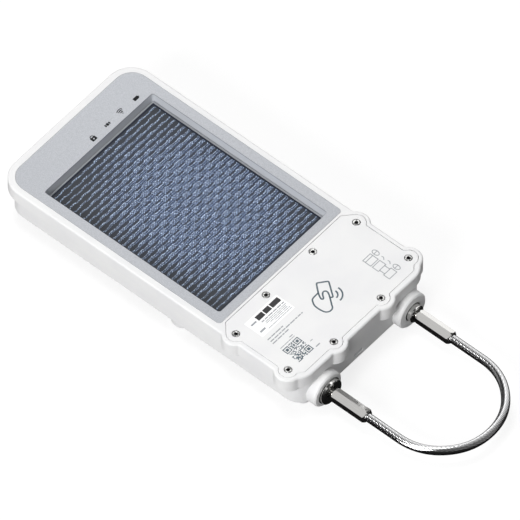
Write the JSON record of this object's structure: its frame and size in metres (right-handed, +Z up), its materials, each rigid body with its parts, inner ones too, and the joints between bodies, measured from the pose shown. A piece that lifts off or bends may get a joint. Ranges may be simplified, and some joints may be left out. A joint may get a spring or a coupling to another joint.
{
  "type": "electronic cable lock",
  "caption": "Flat solar-powered electronic cable lock with a wire rope loop, a locking plug, a swivel end and a screwed cover plate.",
  "frame": {"origin": "under the middle of the casing, on the surface that the lock lies on", "axes": "+Z up out of the face, +Y to the head with the solar panel, -Y to the cable sockets, plug at -X and swivel at +X"},
  "size_m": [0.1282, 0.3411, 0.035],
  "materials": {
    "white_casing": "fine satin texture",
    "silver_bezel": "satin silver paint",
    "icon_black": "black ink",
    "solar_laminate": "dimpled clear film over dark blue cells",
    "panel_edge": "cut laminate edge",
    "clear_guide": "clear",
    "led_emitter": "clear resin",
    "label_film": "white film",
    "plated_steel": "bright plating",
    "turned_steel": "turned and brushed",
    "rope_steel": "bright drawn strands",
    "screw_steel": "zinc plated",
    "insert_brass": "knurled",
    "grey_rubber": "matt",
    "pale_rubber": "matt",
    "silicone": "matt",
    "board_green": "solder mask",
    "component_black": "moulded package",
    "shield_can": "tinned sheet",
    "ceramic": "fired ceramic",
    "battery_wrap": "shrink wrap",
    "black_plastic": "moulded",
    "acetal": "self lubricating",
    "hard_steel": "hardened and ground"
  },
  "bodies": {
    "casing": {"upper_casing": "white_casing", "lower_casing": "white_casing", "cover_plate": "white_casing", "silver_bezel": "silver_bezel", "status_icons": "icon_black", "solar_panel": "solar_laminate", "panel_frame": "panel_edge", "light_guides": "clear_guide", "status_leds": "led_emitter", "label": "label_film", "cover_screws": "screw_steel", "cover_inserts": "insert_brass", "cover_gasket": "silicone", "reader_coil_board": "board_green", "foot_pads": "pale_rubber", "casing_screws": "screw_steel", "casing_inserts": "insert_brass", "casing_gasket": "silicone", "plug_guide_ring": "turned_steel", "plug_seal": "grey_rubber", "plug_barrel": "hard_steel", "plug_sensor": "component_black", "swivel_washer": "turned_steel", "swivel_seal": "grey_rubber", "swivel_bush": "acetal", "wire_rope": "rope_steel", "gear_motor": "shield_can", "motor_bracket": "black_plastic", "bolt_guide": "acetal", "charge_socket": "shield_can", "main_board": "board_green", "lock_board": "board_green", "position_antenna": "ceramic", "radio_antenna": "ceramic", "radio_module": "shield_can", "processor": "component_black", "buzzer": "component_black", "sim_holder": "shield_can", "terminal_block": "board_green", "solar_contacts": "insert_brass", "battery_cells": "battery_wrap", "battery_straps": "black_plastic", "board_screws": "screw_steel", "strap_screws": "screw_steel"},
    "locking_plug": {"locking_plug": "plated_steel", "plug_sleeve": "plated_steel"},
    "swivel": {"swivel_pin": "plated_steel", "retaining_clip": "hard_steel", "fixed_sleeve": "plated_steel"},
    "lock_bolt": {"lock_bolt": "hard_steel"},
    "drive_pinion": {"drive_pinion": "insert_brass"},
    "port_plug": {"port_plug": "pale_rubber"}
  },
  "joints": [
    {"name": "plug_pull", "type": "slide", "parent": "casing", "child": "locking_plug", "axis": [0, -1, 0], "range_m": [0, 0.018], "deforming": ["wire_rope"]},
    {"name": "swivel_turn", "type": "hinge", "parent": "casing", "child": "swivel", "pos_m": [0.0388, -0.1222, 0.0133], "axis": [0, 1, 0], "continuous": true},
    {"name": "bolt_slide", "type": "slide", "parent": "casing", "child": "lock_bolt", "axis": [-1, 0, 0], "range_m": [0, 0.0025]},
    {"name": "pinion_turn", "type": "hinge", "parent": "casing", "child": "drive_pinion", "pos_m": [-0.018, -0.1105, 0.0194], "axis": [0, 1, 0], "range_deg": [-2, 50]},
    {"name": "port_plug_pull", "type": "slide", "parent": "casing", "child": "port_plug", "axis": [0, -1, 0], "range_m": [0, 0.006]}
  ],
  "couplings": [
    {"joint": "pinion_turn", "follows": "bolt_slide", "rad_per_m": 333.33}
  ]
}
